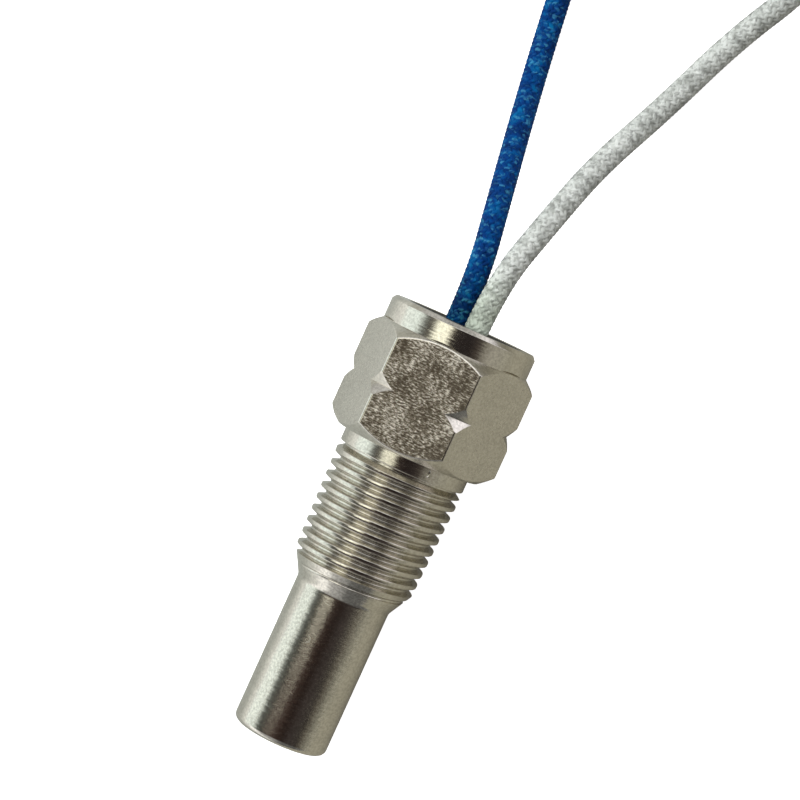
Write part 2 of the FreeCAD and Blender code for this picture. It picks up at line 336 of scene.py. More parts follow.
def evenFrames(points, step):
    # places at even steps along the points, each with two directions square to the line
    lengths = [0.0]
    for a, b in zip(points, points[1:]):
        lengths.append(lengths[-1] + (b - a).length)
    count = round(lengths[-1] / step)
    places = []
    i = 0
    for k in range(count + 1):
        wanted = lengths[-1] * k / count
        while i < len(points) - 2 and lengths[i + 1] < wanted:
            i += 1
        share = (wanted - lengths[i]) / (lengths[i + 1] - lengths[i])
        places.append((wanted, points[i].lerp(points[i + 1], share)))
    frames = []
    side = across.copy()
    for k, (wanted, place) in enumerate(places):
        ahead = places[min(k + 1, count)][1] - places[max(k - 1, 0)][1]
        ahead.normalize()
        side = (side - ahead * side.dot(ahead)).normalized()
        frames.append((wanted, place, side.copy(), ahead.cross(side)))
    return frames, lengths[-1]


def spoke(side, rise, angle):
    return side * cos(angle) + rise * sin(angle)


def newParts():
    return dict(verts=[], faces=[], uvs=[], tones=[], slots=[])


def addTube(parts, rings, stations, tone=0.0, slot=0):
    # skin over rings of points, closed at both ends
    first = len(parts["verts"])
    sides = len(rings[0])
    for ring in rings:
        parts["verts"] += ring
    parts["tones"] += [tone] * (sides * len(rings))
    for k in range(len(rings) - 1):
        low = stations[k] / mm
        high = stations[k + 1] / mm
        for j in range(sides):
            a = first + k * sides + j
            b = first + k * sides + (j + 1) % sides
            u0 = j / sides
            u1 = (j + 1) / sides
            parts["faces"].append((a, b, b + sides, a + sides))
            parts["uvs"] += [(low, u0), (low, u1), (high, u1), (high, u0)]
    last = first + (len(rings) - 1) * sides
    parts["faces"].append(tuple(reversed(range(first, first + sides))))
    parts["faces"].append(tuple(range(last, last + sides)))
    parts["uvs"] += [(stations[0] / mm, 0.5)] * sides + [(stations[-1] / mm, 0.5)] * sides
    parts["slots"] += [slot] * ((len(rings) - 1) * sides + 2)


def meshFrom(name, parts, smooth):
    mesh = bpy.data.meshes.new(name)
    mesh.from_pydata(parts["verts"], [], parts["faces"])
    layer = mesh.uv_layers.new(name="strand")
    layer.data.foreach_set("uv", [x for uv in parts["uvs"] for x in uv])
    mesh.attributes.new("tone", "FLOAT", "POINT").data.foreach_set("value", parts["tones"])
    mesh.polygons.foreach_set("material_index", parts["slots"])
    piece = addObject(name, mesh)
    editAll(piece)
    bpy.ops.mesh.normals_make_consistent(inside=False)
    bpy.ops.object.mode_set(mode="OBJECT")
    bpy.ops.object.shade_smooth_by_angle(angle=radians(smooth))
    return piece


def makeBraid(name, points):
    # flat strands both ways, over one and under one, on a core whose dark colour is painted shade in the
    # gaps between strands
    half = braid["width"] / 2
    high = braid["height"] / 2
    flat = half * braid["crown"]
    section = [(-half, braid["edge"]), (-flat, high), (flat, high), (half, braid["edge"])]
    pitch = braid["lay"] / (2 * braid["strands"]) * mm  # between crossings
    frames, length = evenFrames(points, pitch / braid["steps"])
    stations = [f[0] for f in frames]
    middle = (lead["diameter"] / 2 - high - braid["wave"]) * mm
    parts = newParts()
    for way in (1, -1):
        for strand in range(braid["strands"]):
            rings = []
            for gone, place, side, rise in frames:
                crossing = gone / pitch
                angle = 2 * pi / braid["strands"] * (strand + way * crossing / 2)
                lift = middle + way * braid["wave"] * cos(pi * crossing) * mm
                rings.append([place + spoke(side, rise, angle + wide * mm / middle) * (lift + up * mm)
                              for wide, up in section])
            tone = (strand * braid["toneStep"] + (way + 1) * braid["toneShift"]) % braid["tones"]
            addTube(parts, rings, stations, tone / (braid["tones"] - 1))
    coreFrames, length = evenFrames(points, braid["coreStep"] * mm)
    turns = [2 * pi * k / braid["coreSides"] for k in range(braid["coreSides"])]
    rings = [[place + spoke(side, rise, turn) * braid["coreRadius"] * mm for turn in turns]
             for gone, place, side, rise in coreFrames]
    addTube(parts, rings, [f[0] for f in coreFrames], tone=0.5, slot=1)
    return meshFrom(name, parts, braid["smooth"]), length


def makeTinnedEnd(name, points):
    # stripped strands, twisted and run together with tin
    frames = evenFrames(points, wire["step"] * mm)[0]
    stations = [f[0] for f in frames]
    turns = [2 * pi * k / wire["sides"] for k in range(wire["sides"])]
    parts = newParts()
    for strand in range(wire["strands"] + 1):
        rings = []
        for k, (gone, place, side, rise) in enumerate(frames):
            angle = 2 * pi * (strand / wire["strands"] + gone / (wire["lay"] * mm))
            ringRadius = wire["ringRadius"] if strand else 0
            centre = place + spoke(side, rise, angle) * ringRadius * mm
            radius = wire["strandRadius"] * (wire["tipShare"] if k == len(frames) - 1 else 1)
            rings.append([centre + spoke(side, rise, turn) * radius * mm for turn in turns])
        addTube(parts, rings, stations, strand / wire["strands"])
    return meshFrom(name, parts, wire["smooth"])


# tie round the coil

tie = dict(  # mm and degrees
    inner=14.2,
    outer=21.4,
    top=7.2,
    corner=1.9,
    cornerSteps=7,
    thickness=0.4,
    width=2.6,
    angle=75,
    headFoot=1.8,
    headLength=3.6,
    headHeight=2.4,
    headWidth=3.2,
    headSunk=0.2,
    slotBorder=0.55,
    slotDepth=0.8,
    tailLength=2.3,
    tailWidth=2.0,
    tailThickness=0.5,
    edge=0.09,  # half the round on the head's edges
    edgeSteps=3,
    edgeAngle=50,
    facing=0.9,  # of a normal that counts as upward
    smooth=35,
)


def boxAt(low, high):
    # a block between two corners, in edit mode
    startFresh()
    bpy.ops.mesh.primitive_cube_add(size=1)
    piece = bpy.context.object
    editAll(piece)
    bpy.ops.transform.resize(value=[b - a for a, b in zip(low, high)])
    bpy.ops.transform.translate(value=[(a + b) / 2 for a, b in zip(low, high)])
    return piece


def roundEdges(piece, width):
    tidyMesh(piece)
    rounding = piece.modifiers.new("rounding", "BEVEL")
    rounding.width = width
    rounding.segments = tie["edgeSteps"]
    rounding.limit_method = "ANGLE"
    rounding.angle_limit = radians(tie["edgeAngle"])
    applyAll(piece)


def makeTie():
    t = tie
    startFresh()
    bpy.ops.mesh.primitive_plane_add(size=1, rotation=(radians(90), 0, 0))
    strap = bpy.context.object
    strap.name = "coilTie"
    strap.data.name = "coilTie"
    bpy.ops.object.transform_apply()
    editAll(strap)
    bpy.ops.transform.resize(value=(t["outer"] - t["inner"], 1, t["top"]))
    bpy.ops.transform.translate(value=((t["outer"] + t["inner"]) / 2, -t["width"] / 2, t["top"] / 2))
    bpy.ops.mesh.bevel(offset=t["corner"], offset_type="OFFSET", segments=t["cornerSteps"],
                       affect="VERTICES")
    bpy.ops.mesh.select_all(action="SELECT")
    bpy.ops.mesh.delete(type="ONLY_FACE")
    bpy.ops.mesh.select_all(action="SELECT")
    bpy.ops.mesh.extrude_edges_move(TRANSFORM_OT_translate={"value": (0, t["width"], 0)})
    wall = strap.modifiers.new("wall", "SOLIDIFY")
    wall.thickness = t["thickness"]
    wall.offset = -1
    roundEdges(strap, t["edge"])
    headTop = t["headFoot"] + t["headLength"]
    head = boxAt((t["outer"] - t["headSunk"], -t["headWidth"] / 2, t["headFoot"]),
                 (t["outer"] + t["headHeight"], t["headWidth"] / 2, headTop))
    bpy.ops.mesh.select_mode(type="FACE")
    bpy.ops.mesh.select_all(action="DESELECT")
    edit = bmesh.from_edit_mesh(head.data)
    for face in edit.faces:
        face.select = face.normal.z > t["facing"]
    bmesh.update_edit_mesh(head.data)
    bpy.ops.mesh.inset(thickness=t["slotBorder"])
    bpy.ops.mesh.extrude_region_move(TRANSFORM_OT_translate={"value": (0, 0, -t["slotDepth"])})
    roundEdges(head, 2 * t["edge"])
    tailFoot = headTop - t["slotDepth"]
    tailIn = t["outer"] + (t["headHeight"] - t["tailThickness"]) / 2
    tail = boxAt((tailIn, -t["tailWidth"] / 2, tailFoot),
                 (tailIn + t["tailThickness"], t["tailWidth"] / 2, tailFoot + t["tailLength"]))
    roundEdges(tail, t["edge"])
    pick(strap)
    head.select_set(True)
    tail.select_set(True)
    bpy.ops.object.join()
    tidyMesh(strap)
    shadeTrue(strap, t["smooth"])
    settle(strap, Matrix.Translation(coilCentre) @ Matrix.Rotation(radians(t["angle"]), 4, "Z"))
    standFor(strap, "tie_plastic", "coil_tie")
    return strap


coilTie = makeTie()
braids = {}
bareEnds = {}
for colour, settings in leads.items():
    line = splinePoints(colour + "Line", leadRoute(settings))
    covered = splitLine(line, wire["length"] * mm)[0]
    tail = splitLine(line, (wire["length"] + wire["hidden"]) * mm)[1]
    piece, length = makeBraid(colour + "Braid", covered)
    standFor(piece, colour + "_braid", colour + "_lead", colour + "_coil")
    end = makeTinnedEnd(colour + "TinnedEnd", tail)
    standFor(end, "tinned_wire", "tinned_end_" + colour)
    braids[colour] = piece
    bareEnds[colour] = end
    print(colour, "lead", round(length / mm, 1), "mm", len(piece.data.polygons), "faces")


# body: turned from hexagon bar, then threaded

body = dict(  # mm
    probeRadius=6.0,
    tipRound=0.8,
    shoulderFoot=19.2,
    shoulderBlend=1.2,
    threadSmallRadius=7.7,
    threadTop=36.2,
    taper=1 / 16,
    reliefWidth=0.9,
    reliefFloor=0.3,
    reliefDepth=0.85,
    neckRadius=8.05,
    hexFoot=38.0,
    hexTop=51.8,
    acrossFlats=19.0,
    cornerRound=0.35,
    footRadius=9.2,
    chamferAngle=46.6,  # degrees at the corners
    grooveDepth=0.9,
    grooveAngle=65.0,
    grooveHeight=44.6,
    collarRadius=9.4,
    top=54.8,
    breakWidth=0.4,
    breakHeight=0.5,
    mouthRadius=7.3,
    mouthFloor=44.8,
    mouthChamfer=0.3,
    spliceRadius=4.8,
    elementRadius=3.5,
    elementFoot=3.9,
    elementTop=23.9,
    tipWall=1.8,
    drillSlope=0.6,
    edge=0.07,  # fillet left by tumbling and plating
    footRound=0.21,  # where the thread starts
    neckRound=0.14,
    cornerSteps=5,
    flatsOver=0.4,  # that the cutter for the flats stands past them
    ringShare=1.4,  # its outside against its hexagon
    steps=192,
    merge=0.002,
    smooth=30,  # degrees
)
thread = dict(  # mm
    pitch=1.5,
    depth=0.88,
    rootHalf=0.14,
    rootRound=0.19,
    lipHalf=0.51,
    lipRound=0.12,
    crown=0.012,  # that the crests fall off towards the lips
    crownRise=0.004,
    crownWidth=0.225,
    firstGroove=18.295,  # height of the groove's middle where it starts, on the +X side
    turns=11,
    extraTurn=0.337,
    steps=72,  # in each turn
)
edgeBreak = dict(  # mm and degrees, a round where the end chamfers meet the flats
    reach=0.15,  # from the sharp edge to where the round starts
    facets=3,
    over=0.4,  # that its first and last facets run on
    proud=1.0,  # outermost point of the cutter, beyond the sharp edge
    sweep=66,
    steps=66,
)
nick = dict(  # mm and degrees, a knock on the neck
    height=37.25,
    angle=-58,
    size=(0.2, 0.17, 0.52),
    sunk=0.03,
    segments=16,
    rings=10,
)
flatStep = 60  # degrees from flat to flat
flatAngles = [flatStep / 2 + flatStep * k for k in range(6)]
hexCorner = body["acrossFlats"] / sqrt(3)
endBall = hexCorner / sin(radians(body["chamferAngle"]))  # form of the hexagon's end chamfers


def ballHeight(radius, ball):
    return sqrt(ball**2 - radius**2)


def domePoints(start, endRadius, ball, count=7):
    # a slope that rises along a ball form
    radius, height = start
    points = []
    for k in range(count + 1):
        r = radius + (endRadius - radius) * k / count
        points.append((r, height + abs(ballHeight(radius, ball) - ballHeight(r, ball)), 0))
    return points


def bodyProfile():
    b = body
    edge = b["edge"]
    grooveBall = hexCorner / sin(radians(b["grooveAngle"]))
    outside = hexCorner + b["grooveDepth"] / 2
    grooveFloor = hexCorner - b["grooveDepth"]
    grooveLow = b["grooveHeight"] - ballHeight(grooveFloor, grooveBall) + ballHeight(outside, grooveBall)
    shoulderHigh = b["hexTop"] - ballHeight(b["collarRadius"], endBall) + ballHeight(outside, endBall)
    reliefFoot = b["threadTop"] - b["reliefWidth"]
    crestTop = b["threadSmallRadius"] + (reliefFoot - threadPlace["foot"]) * b["taper"] / 2
    reliefRadius = crestTop + b["reliefWidth"] * b["taper"] / 2 - b["reliefDepth"]
    spliceFoot = b["elementTop"] + (b["spliceRadius"] - b["elementRadius"]) * b["drillSlope"]
    corners = [
        (0, 0, 0),
        (b["probeRadius"], 0, b["tipRound"]),
        (b["probeRadius"], b["shoulderFoot"], b["shoulderBlend"]),
        (b["threadSmallRadius"], threadPlace["foot"], b["footRound"]),
        (crestTop, reliefFoot, edge),
        (reliefRadius, b["threadTop"] - b["reliefFloor"], edge),
        (reliefRadius, b["threadTop"], edge),
        (b["neckRadius"], b["threadTop"], b["neckRound"]),
        (b["neckRadius"], b["hexFoot"], b["neckRound"]),
    ]
    corners += domePoints((b["footRadius"], b["hexFoot"]), outside, endBall)
    corners += domePoints((outside, grooveLow), grooveFloor, grooveBall)
    corners += domePoints((grooveFloor, b["grooveHeight"]), outside, grooveBall)[1:]
    corners += domePoints((outside, shoulderHigh), b["collarRadius"], endBall)
    corners += [
        (b["collarRadius"], b["top"] - b["breakHeight"], edge),
        (b["collarRadius"] - b["breakWidth"], b["top"], edge),
        (b["mouthRadius"] + b["mouthChamfer"], b["top"], edge),
        (b["mouthRadius"], b["top"] - b["mouthChamfer"], edge),
        (b["mouthRadius"], b["mouthFloor"], 0),
        (b["spliceRadius"], b["mouthFloor"], 0),
        (b["spliceRadius"], spliceFoot, 0),
        (b["elementRadius"], b["elementTop"], 0),
        (b["elementRadius"], b["elementFoot"], 0),
        (0, b["tipWall"], 0),
    ]
    return roundedChain(corners)


def threadCutter():
    # a round-bottomed V groove swept up the helix, with lips that crown the crests
    t = thread
    crest = body["threadSmallRadius"]
    root = crest - t["depth"]
    half = [
        (root, t["rootHalf"], t["rootRound"]),
        (crest - t["crown"], t["lipHalf"], t["lipRound"]),
        (crest + t["crownRise"], t["lipHalf"] + t["crownWidth"], 0),
        (crest + t["depth"], t["lipHalf"] + t["crownWidth"], 0),
    ]
    corners = [(r, t["firstGroove"] - z, fillet) for r, z, fillet in reversed(half)]
    corners += [(r, t["firstGroove"] + z, fillet) for r, z, fillet in half]
    cutter = drawChain("threadCutter", roundedChain(corners))
    editAll(cutter)
    bpy.ops.mesh.edge_face_add()
    bpy.ops.object.mode_set(mode="OBJECT")
    stretch = 1 + t["extraTurn"] / t["turns"]
    screw = cutter.modifiers.new("screw", "SCREW")
    screw.axis = "Z"
    screw.angle = 2 * pi * stretch
    screw.screw_offset = t["pitch"] * stretch
    screw.iterations = t["turns"]
    screw.steps = t["steps"]
    screw.render_steps = t["steps"]
    bpy.ops.object.modifier_apply(modifier=screw.name)
    editAll(cutter)
    bpy.ops.mesh.fill_holes(sides=0)
    tidyMesh(cutter)
    for v in cutter.data.vertices:  # the taper
        swell = 1 + (v.co.z - threadPlace["foot"]) * body["taper"] / 2 / crest
        v.co.x *= swell
        v.co.y *= swell
    return cutter


def flatsCutter():
    # a ring with a hexagonal hole, which leaves six flats
    b = body
    startFresh()
    bpy.ops.mesh.primitive_circle_add(vertices=6, radius=hexCorner, rotation=(0, 0, pi / 2))
    cutter = bpy.context.object
    bpy.ops.object.transform_apply()
    editAll(cutter)
    reach = b["cornerRound"] * tan(radians(flatStep / 2))
    bpy.ops.mesh.bevel(offset=reach, offset_type="OFFSET", segments=b["cornerSteps"], affect="VERTICES",
                       clamp_overlap=False)
    bpy.ops.mesh.select_all(action="SELECT")
    bpy.ops.transform.translate(value=(0, 0, b["hexFoot"] - b["flatsOver"]))
    bpy.ops.mesh.extrude_edges_move()
    bpy.ops.transform.resize(value=(b["ringShare"], b["ringShare"], 1))
    bpy.ops.mesh.select_all(action="SELECT")
    rise = b["hexTop"] - b["hexFoot"] + 2 * b["flatsOver"]
    bpy.ops.mesh.extrude_region_move(TRANSFORM_OT_translate={"value": (0, 0, rise)})
    tidyMesh(cutter)
    return cutter


def nickCutter():
    turn = radians(nick["angle"])
    reach = body["neckRadius"] + nick["sunk"]
    place = (reach * cos(turn), reach * sin(turn), nick["height"])
    startFresh()
    bpy.ops.mesh.primitive_uv_sphere_add(segments=nick["segments"], ring_count=nick["rings"], radius=1,
                                         location=place, rotation=(0, 0, turn + pi / 2),
                                         scale=nick["size"])
    bpy.ops.object.transform_apply()
    return bpy.context.object


def breakSection():
    # a flat meets the ball form in a circle: this cuts across that edge
    # points are (out from the circle's middle, out from the sender's axis)
    e = edgeBreak
    flat = body["acrossFlats"] / 2
    edge = Vector((ballHeight(flat, endBall), flat))
    turn = acos(flat / endBall)
    radius = e["reach"] / tan(turn / 2)
    middle = edge - Vector((e["reach"], radius))
    step = turn / e["facets"]

    def outward(angle):
        return Vector((sin(angle), cos(angle)))

    joints = [middle + outward(step * k) * radius / cos(step / 2) for k in range(1, e["facets"])]
    first = joints[0] - outward(step / 2 + pi / 2) * e["over"]
    last = joints[-1] + outward(turn - step / 2 + pi / 2) * e["over"]
    return [first, *joints, last, edge + outward(turn / 2) * e["proud"]]


def breakCutter(flats):
    # swept pieces for both ends of the flats at these angles
    b = body
    section = breakSection()
    sweep = radians(edgeBreak["sweep"])
    ends = [  # height of each ball's middle, and which way its end points
        (b["hexTop"] - ballHeight(b["collarRadius"], endBall), 1),
        (b["hexFoot"] + ballHeight(b["footRadius"], endBall), -1),
    ]
    swept = []
    for angle in flats:
        for height, way in ends:
            piece = drawChain("breakCutter", section)
            editAll(piece)
            bpy.ops.mesh.edge_face_add()
            bpy.ops.mesh.spin(steps=edgeBreak["steps"], angle=sweep, center=(0, 0, 0), axis=(0, 0, 1))
            tidyMesh(piece)
            outward = Vector((cos(radians(angle)), sin(radians(angle)), 0))
            ahead = Vector((0, 0, way))
            turned = Matrix((ahead, outward.cross(ahead), outward)).transposed().to_4x4()
            half = Matrix.Rotation(sweep / 2, 4, "Z")
            piece.matrix_world = Matrix.Translation((0, 0, height)) @ turned @ half
            swept.append(piece)
    pick(swept[0])
    for piece in swept[1:]:
        piece.select_set(True)
    bpy.ops.object.transform_apply()
    bpy.ops.object.join()
    tidyMesh(swept[0])
    return swept[0]


def makeBody():
    piece = drawChain("senderBody", bodyProfile())
    spinRound(piece, body["steps"])
    print("blank turned", len(piece.data.polygons))
    cutWith(piece, flatsCutter())
    for start in (0, 1):  # every second flat at a time, so that no two cutters meet
        cutWith(piece, breakCutter(flatAngles[start::2]))
    print("flats milled", len(piece.data.polygons))
    cutWith(piece, threadCutter())
    print("thread cut", len(piece.data.polygons))
    cutWith(piece, nickCutter())
    tidyMesh(piece, body["merge"])
    shadeTrue(piece, body["smooth"])
    settle(piece, senderPlace)
    standFor(piece, "nickel_plate", "sender_body")
    print("body made", len(piece.data.polygons))
    return piece


senderBody = makeBody()


# resin in the mouth, drawn up at its wall and at the leads

resin = dict(  # mm
    foot=44.8,
    wall=7.295,
    wallTop=54.5,
    brim=(7.54, 54.735),
    level=54.36,
    brimReach=0.45,
    climb=0.35,
    climbReach=0.3,
    topBand=0.3,  # below the wall's top, where points belong to the face
    holeRadius=1.5,
    holeSides=40,
    holeDepth=30,
    ringStep=0.24,
    steps=96,
    merge=0.002,
    smooth=40,  # degrees
)


def makeResin():
    s = resin
    brimRadius, brimHeight = s["brim"]
    count = round(brimRadius / s["ringStep"])
    chain = [(0, s["foot"]), (s["wall"], s["foot"]), (s["wall"], s["wallTop"])]
    for k in range(count + 1):
        r = brimRadius * (1 - k / count)
        fall = exp((r - brimRadius) / s["brimReach"])
        chain.append((r, s["level"] + (brimHeight - s["level"]) * fall))
    piece = drawChain("resinPlug", chain)
    spinRound(piece, s["steps"])
    back = senderPlace.inverted()
    holes = [(back @ leadStart(settings)).xy / mm for settings in leads.values()]
    for v in piece.data.vertices:
        if v.co.z > s["wallTop"] - s["topBand"]:
            gap = min((v.co.xy - hole).length for hole in holes) - lead["diameter"] / 2
            v.co.z += s["climb"] * exp(-max(gap, 0) / s["climbReach"])
    for hole in holes:
        startFresh()
        bpy.ops.mesh.primitive_cylinder_add(vertices=s["holeSides"], radius=s["holeRadius"],
                                            depth=s["holeDepth"], location=(*hole, s["foot"]))
        bpy.ops.object.transform_apply()
        cutWith(piece, bpy.context.object)
    tidyMesh(piece, s["merge"])
    shadeTrue(piece, s["smooth"])
    settle(piece, senderPlace)
    standFor(piece, "potting_resin", "potting_plug")
    print("resin poured", len(piece.data.polygons))
    return piece


resinPlug = makeResin()


# shader helpers: a new node goes into the tree of the sockets that feed it

def fillInputs(node, inputs):
    for name, value in inputs.items():
        if isinstance(value, bpy.types.NodeSocket):
            node.id_data.links.new(value, node.inputs[name])
        else:
            node.inputs[name].default_value = value


def put(tree, kind, inputs=None, **settings):
    node = tree.nodes.new("ShaderNode" + kind)
    for name, value in settings.items():
        setattr(node, name, value)
    fillInputs(node, inputs or {})
    return node


def putWith(kind, values, **settings):
    tree = next(v.id_data for v in values if isinstance(v, bpy.types.NodeSocket))
    return put(tree, kind, dict(enumerate(values)), **settings).outputs


def work(operation, *values):
    return putWith("Math", values, operation=operation)[0]


def times(value, factor):
    return work("MULTIPLY", value, factor)


def timesPlus(value, factor, more):
    return work("MULTIPLY_ADD", value, factor, more)


def vectorWork(operation, *values):
    return putWith("VectorMath", values, operation=operation)


def joined(x, y, z=0.0):
    return putWith("CombineXYZ", (x, y, z))[0]


def spread(value, low, high, toLow=0.0, toHigh=1.0):
    return putWith("MapRange", (value, low, high, toLow, toHigh), interpolation_type="SMOOTHSTEP")[0]


def blendColours(share, a, b, blend="MIX"):
    node = put(share.id_data, "Mix", {0: share, 6: a, 7: b}, data_type="RGBA", blend_type=blend)
    return node.outputs[2]


def ramp(value, stops):
    # stops are (place, colour or grey)
    node = put(value.id_data, "ValToRGB", {0: value})
    elements = node.color_ramp.elements
    while len(elements) < len(stops):
        elements.new(1)
    for element, (place, colour) in zip(elements, stops):
        element.position = place
        element.color = (*colour, 1) if isinstance(colour, tuple) else (colour, colour, colour, 1)
    return node.outputs[0]


def noise(vector, scale=1.0, detail=2.0, rough=0.5):
    return put(vector.id_data, "TexNoise", {
        "Vector": vector, "Scale": scale, "Detail": detail, "Roughness": rough,
    }).outputs["Fac"]


def bump(height, strength, depth, normal=None):
    inputs = {"Height": height, "Strength": strength, "Distance": depth * mm}
    if normal:
        inputs["Normal"] = normal
    return put(height.id_data, "Bump", inputs).outputs[0]


def newMaterial(name, **values):
    material = bpy.data.materials.new(name)
    material.use_nodes = True
    tree = material.node_tree
    shader = tree.nodes["Principled BSDF"]
    fillInputs(shader, {socket.replace("_", " "): value for socket, value in values.items()})
    return material, tree, shader


def feed(shader, colour, rough, normal):
    fillInputs(shader, {"Base Color": colour, "Roughness": rough, "Normal": normal})


def dress(piece, *materials):
    piece.data.materials.clear()
    for material in materials:
        piece.data.materials.append(material)


def newGroup(name, inputs, outputs):
    group = bpy.data.node_groups.new(name, "ShaderNodeTree")
    for socket, kind, value in inputs:
        made = group.interface.new_socket(socket, in_out="INPUT", socket_type="NodeSocket" + kind)
        made.default_value = value
    for socket, kind in outputs:
        group.interface.new_socket(socket, in_out="OUTPUT", socket_type="NodeSocket" + kind)
    return group, group.nodes.new("NodeGroupOutput")


def useGroup(tree, group, inputs=None):
    return put(tree, "Group", inputs, node_tree=group).outputs


# shared effects

lathe = dict(  # repeats for each mm along the axis, radian round it and mm out from it; detail, roughness
    rings=((9.6, 1.1, 4.8), 3.0, 0.65),
    sway=((4.6, 0.5, 1.6), 4.0, 0.7),
)
mottleLook = dict(
    detail=dict(Clouds=3.0, Grain=2.0),
    reach=(0.3, 0.7),  # of the noise, spread to 0 and 1
)


def senderFrameGroup():
    # place on the sender in millimetres: along the axis, round it and out from it
    group, given = newGroup("senderFrame", [], [
        ("Axial", "Float"), ("Turn", "Float"), ("Radius", "Float"), ("Point", "Vector"),
    ])
    objectPoint = put(group, "TexCoord").outputs["Object"]
    own = put(group, "Mapping", {
        "Vector": objectPoint, "Location": tip, "Rotation": senderTurn.to_euler(), "Scale": (mm, mm, mm),
    }, vector_type="TEXTURE").outputs[0]
    x, y, z = put(group, "SeparateXYZ", {0: own}).outputs
    square = timesPlus(x, x, times(y, y))
    fillInputs(given, {
        "Axial": z,
        "Turn": work("ARCTAN2", y, x),
        "Radius": work("SQRT", square),
        "Point": own,
    })
    return group


def latheNoise(place, rates, detail, rough):
    stretched = [times(place[way], rate) for way, rate in zip(("Axial", "Turn", "Radius"), rates)]
    return noise(joined(*stretched), detail=detail, rough=rough)


def latheRingsGroup():
    # tool marks: fine rings, and a normal that leans to and fro round the axis from ring to ring
    group, given = newGroup("latheRings", [("Lean", "Float", 0.05)], [
        ("Rings", "Float"), ("Normal", "Vector"),
    ])
    taken = group.nodes.new("NodeGroupInput").outputs
    place = useGroup(group, senderFrame)
    sway = work("SUBTRACT", latheNoise(place, *lathe["sway"]), 0.5)  # to either side
    normal = put(group, "NewGeometry").outputs["Normal"]
    roundWay = vectorWork("CROSS_PRODUCT", along, normal)[0]
    lean = times(sway, taken["Lean"])
    leaned = put(group, "VectorMath", {0: roundWay, "Scale": lean}, operation="SCALE").outputs[0]
    total = vectorWork("ADD", normal, leaned)[0]
    fillInputs(given, {
        "Rings": latheNoise(place, *lathe["rings"]),
        "Normal": vectorWork("NORMALIZE", total)[0],
    })
    return group


def mottleGroup():
    # clouds and fine grain in object space, both from 0 to 1
    kinds = mottleLook["detail"]
    group, given = newGroup("mottle", [(kind + " per mm", "Float", 1.0) for kind in kinds],
                            [(kind, "Float") for kind in kinds])
    taken = group.nodes.new("NodeGroupInput").outputs
    objectPoint = put(group, "TexCoord").outputs["Object"]
    own = vectorWork("MULTIPLY", objectPoint, (1 / mm, 1 / mm, 1 / mm))[0]
    for kind, detail in kinds.items():
        spots = noise(own, taken[kind + " per mm"], detail)
        fillInputs(given, {kind: spread(spots, *mottleLook["reach"])})
    return group


senderFrame = senderFrameGroup()
latheRings = latheRingsGroup()
mottle = mottleGroup()


def mottled(tree, cloudsPerMm, grainPerMm):
    spots = useGroup(tree, mottle, {"Clouds per mm": cloudsPerMm, "Grain per mm": grainPerMm})
    return spots["Clouds"], spots["Grain"]


# nickel plate on the turned body

nickel = dict(
    dull=(0.52, 0.497, 0.443, 1),
    clear=(0.71, 0.683, 0.612, 1),
    grainShare=0.8,  # the rest is clouding
    mottle=(0.35, 3.2),  # clouds and grain for each mm
    speck=(0.42, 0.385, 0.325, 1),
)
turned = dict(  # noise is repeats for each mm, detail and roughness; bump is strength and mm
    lean=0.2,
    grainPerMm=7.0,
    specks=(3.4, 3.0, 0.6),
    speckFrom=(0.66, 0.74),
    speckShare=0.6,
    probeTop=(18.5, 19.5),  # mm, over which the rougher probe ends
    probeGrain=1.5,
    grain=0.2,
    rough=0.08,
    ringRough=0.1,
    rubRough=0.2,
    grainRough=0.08,
    bump=(0.22, 0.012),
)
rub = dict(height=13.2, angle=-99, shift=0.225, edge=(0.4, 0.55), share=0.7)  # mm and degrees
flatArc = 9.9  # mm, mean distance of a flat from the axis
smooth = dict(
    streaks=((7.0, 1.4), 3.0, 0.6),  # for each mm along the axis and across it, then detail and roughness
    speckFrom=(0.62, 0.78),
    rough=(0.12, 0.2),
    bump=(0.45, 0.02),
)
pitted = dict(
    streaks=((5.6, 1.9), 4.0, 0.68),
    cloudsPerMm=0.32,
    cloudShare=-0.36,
    level=0.166,
    # the dark stops are partly the skin's own tone and partly painted shade; the bright stops are painted
    # glints on its scuffs
    skinShadeAndGlints=[(0.40, (0.12, 0.10, 0.073)), (0.51, (0.30, 0.262, 0.205)), (0.59, (0.82, 0.77, 0.68)),
          (0.67, (1.0, 0.97, 0.90))],
    rough=(-0.2, 0.62),
    bump=(0.6, 0.06),
)
flatTest = dict(tilt=0.01, turn=1, gap=0.03)  # of a face on a flat: share, degrees and mm


def rubMark(place):
    # a crescent where something rubbed the probe
    up = work("SUBTRACT", place["Axial"], rub["height"])
    turn = work("SUBTRACT", place["Turn"], radians(rub["angle"]))
    sideways = times(turn, body["probeRadius"])
    near = vectorWork("LENGTH", joined(up, sideways))["Value"]
    moved = joined(up, work("ADD", sideways, rub["shift"]))
    offset = vectorWork("LENGTH", moved)["Value"]
    return times(spread(near, *rub["edge"], 1.0, 0.0), spread(offset, *rub["edge"]))


def plateTone(tree):
    # the plate's own grain and clouding
    clouds, grain = mottled(tree, *nickel["mottle"])
    share = timesPlus(grain, nickel["grainShare"], times(clouds, 1 - nickel["grainShare"]))
    return blendColours(share, nickel["dull"], nickel["clear"])


